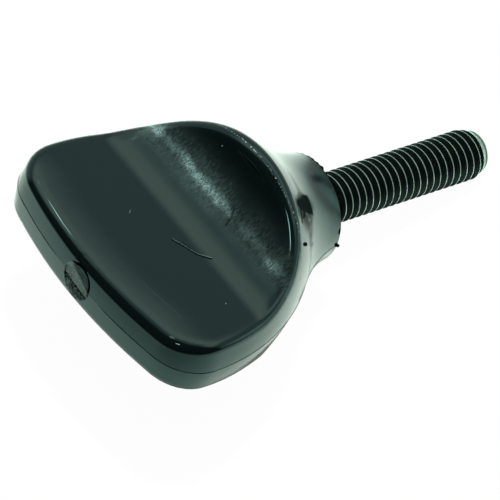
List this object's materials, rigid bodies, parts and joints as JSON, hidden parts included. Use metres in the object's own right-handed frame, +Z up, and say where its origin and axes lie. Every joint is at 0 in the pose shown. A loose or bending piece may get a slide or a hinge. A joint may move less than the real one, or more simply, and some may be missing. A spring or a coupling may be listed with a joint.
{
  "type": "thumb screw",
  "caption": "Moulded plastic thumb head with a dished face on each side, on a straight threaded steel stud with a chamfered tip.",
  "frame": {"origin": "centre of the neck's end face, on the stud's axis", "axes": "+X runs along the stud and is tipped down 14.4 degrees, +Y is across the head, +Z is up as the screw lies on its crest and tip"},
  "size_m": [0.0571, 0.0334, 0.0232],
  "materials": {
    "plastic": "smooth gloss, scuffed in the thumb dish, with a parting line and a torn gate mark",
    "steel": "black oxide, worn bright on the thread crests"
  },
  "bodies": {
    "root": {"knob": "plastic", "stud": "steel"}
  },
  "joints": []
}
